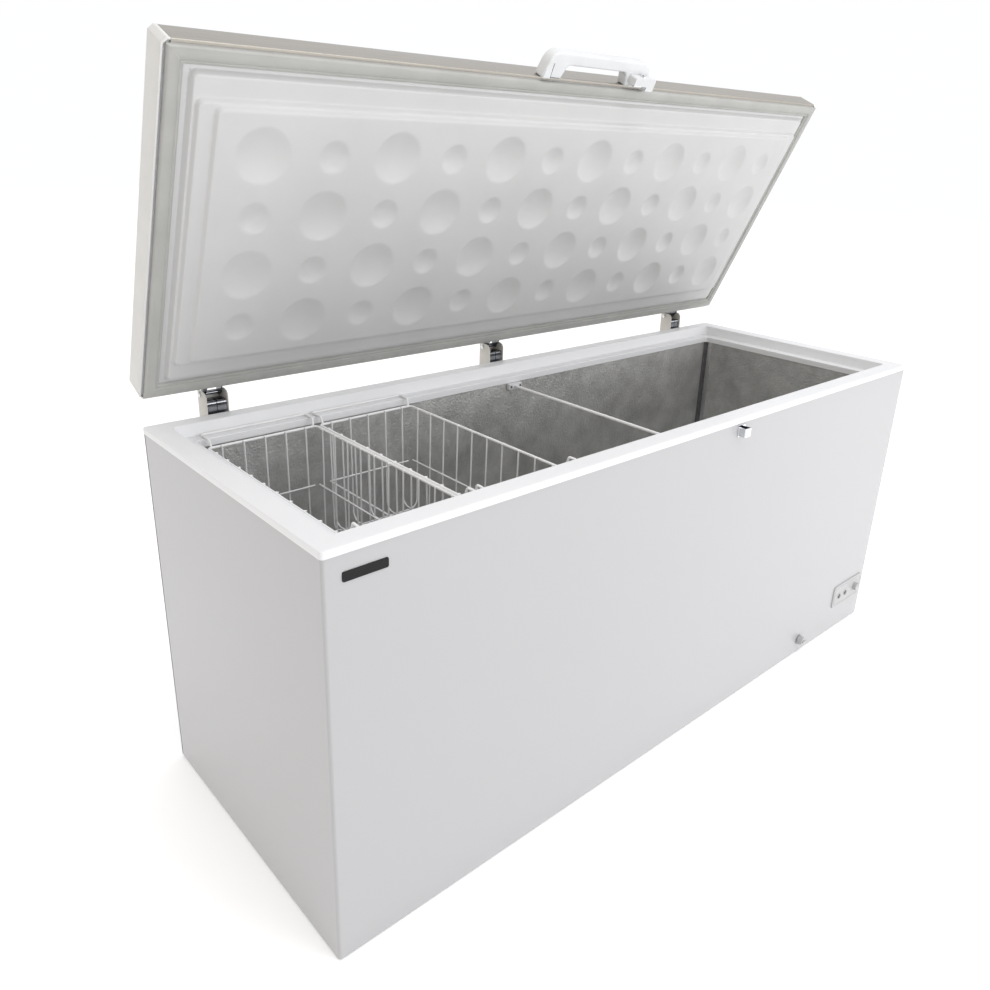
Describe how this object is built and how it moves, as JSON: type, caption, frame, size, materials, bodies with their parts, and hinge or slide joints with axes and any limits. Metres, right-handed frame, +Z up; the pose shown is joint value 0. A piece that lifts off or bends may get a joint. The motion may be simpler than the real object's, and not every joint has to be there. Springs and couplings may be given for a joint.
{
  "type": "chest freezer",
  "caption": "Long chest freezer with a thick hinged lid open, dimpled lid liner, wire baskets hung on the rim, tie rod, control panel and drain.",
  "frame": {"origin": "on the floor under the middle of the cabinet", "axes": "+X along the cabinet to its right end, +Y to the rear (hinge side), +Z up"},
  "size_m": [1.901, 0.76, 1.5574],
  "materials": {
    "white_sheet": "gloss white paint",
    "grey_sheet": "zinc grey",
    "tank_aluminium": "embossed",
    "foam": "matte",
    "white_plastic": "satin white",
    "grey_plastic": "matte",
    "black_plastic": "gloss black",
    "lamp_dark": "dark lens",
    "black_steel": "black enamel",
    "rubber_black": "matte",
    "gasket_white": "soft white",
    "tube_metal": "drawn",
    "copper": "copper",
    "chrome": "polished",
    "stainless": "brushed",
    "spring_steel": "oiled",
    "coated_wire": "white coating"
  },
  "bodies": {
    "cabinet": {"outer_wrapper": "white_sheet", "rear_panel": "grey_sheet", "base_pan": "grey_sheet", "feet": "rubber_black", "inner_tank": "tank_aluminium", "rim": "white_plastic", "evaporator_coil": "tube_metal", "condenser_coil": "tube_metal", "drain_tube": "white_plastic", "cabinet_foam": "foam", "control_panel": "white_plastic", "lamp_power": "lamp_dark", "lamp_run": "lamp_dark", "thermostat": "grey_plastic", "badge_plate": "black_plastic", "side_grille": "white_plastic", "rear_cover": "grey_sheet", "cable_gland": "rubber_black", "compressor_plate": "grey_sheet", "compressor_grommets": "rubber_black", "compressor": "black_steel", "relay_cover": "black_plastic", "filter_drier": "copper", "suction_line": "copper", "lock_keeper": "chrome", "rod_brackets": "white_plastic", "bracket_screws": "spring_steel", "tie_rod": "coated_wire", "hinge_screws": "spring_steel", "hinge_bracket_left": "white_sheet", "hinge_spring_left": "spring_steel", "hinge_bracket_mid": "white_sheet", "hinge_spring_mid": "spring_steel", "hinge_bracket_right": "white_sheet", "hinge_spring_right": "spring_steel"},
    "lid": {"lid_skin": "stainless", "lid_end_left": "white_plastic", "lid_end_right": "white_plastic", "lid_liner": "white_plastic", "lid_foam": "foam", "lid_gasket": "gasket_white", "lid_handle": "white_plastic", "lock_housing": "white_plastic", "hinge_arm_left": "chrome", "hinge_arm_mid": "chrome", "hinge_arm_right": "chrome"},
    "lock": {"lock_cylinder": "chrome", "lock_tongue": "chrome"},
    "spring_caps": {"hinge_cap_left": "chrome", "hinge_cap_mid": "chrome", "hinge_cap_right": "chrome"},
    "basket_left": {"basket_left_frame": "coated_wire", "basket_left_long_wires": "coated_wire", "basket_left_cross_wires": "coated_wire"},
    "basket_right": {"basket_right_frame": "coated_wire", "basket_right_long_wires": "coated_wire", "basket_right_cross_wires": "coated_wire"},
    "knob": {"thermostat_knob": "white_plastic"},
    "outer_drain_cap": {"drain_cap": "white_plastic"},
    "inner_drain_plug": {"drain_plug": "white_plastic"}
  },
  "joints": [
    {"name": "lid_hinge", "type": "hinge", "parent": "cabinet", "child": "lid", "pos_m": [0, 0.382, 0.847], "axis": [-1, 0, 0], "range_deg": [-65.4, 12]},
    {"name": "lock_turn", "type": "hinge", "parent": "lid", "child": "lock", "pos_m": [0.126, 0.02479, 1.52152], "axis": [0, -0.4163, 0.9092], "range_deg": [0, 90]},
    {"name": "spring_cap_slide", "type": "slide", "parent": "cabinet", "child": "spring_caps", "axis": [0, 0, 1], "range_m": [-0.0162, 0.00304], "deforming": ["hinge_spring_left", "hinge_spring_mid", "hinge_spring_right"]},
    {"name": "basket_right_slide", "type": "slide", "parent": "cabinet", "child": "basket_right", "axis": [1, 0, 0], "range_m": [0, 0.31]},
    {"name": "basket_left_slide", "type": "slide", "parent": "cabinet", "child": "basket_left", "axis": [1, 0, 0], "range_m": [-0.008, 0.0015]},
    {"name": "knob_turn", "type": "hinge", "parent": "cabinet", "child": "knob", "pos_m": [0.893, -0.361, 0.114], "axis": [0, -1, 0], "range_deg": [-135, 135]},
    {"name": "drain_cap_pull", "type": "slide", "parent": "cabinet", "child": "outer_drain_cap", "axis": [0, -1, 0], "range_m": [0, 0.03]},
    {"name": "drain_plug_lift", "type": "slide", "parent": "cabinet", "child": "inner_drain_plug", "axis": [0, 0, 1], "range_m": [0, 0.03]}
  ],
  "couplings": [
    {"joint": "spring_cap_slide", "follows": "lid_hinge", "m_per_rad": 0.014017}
  ]
}
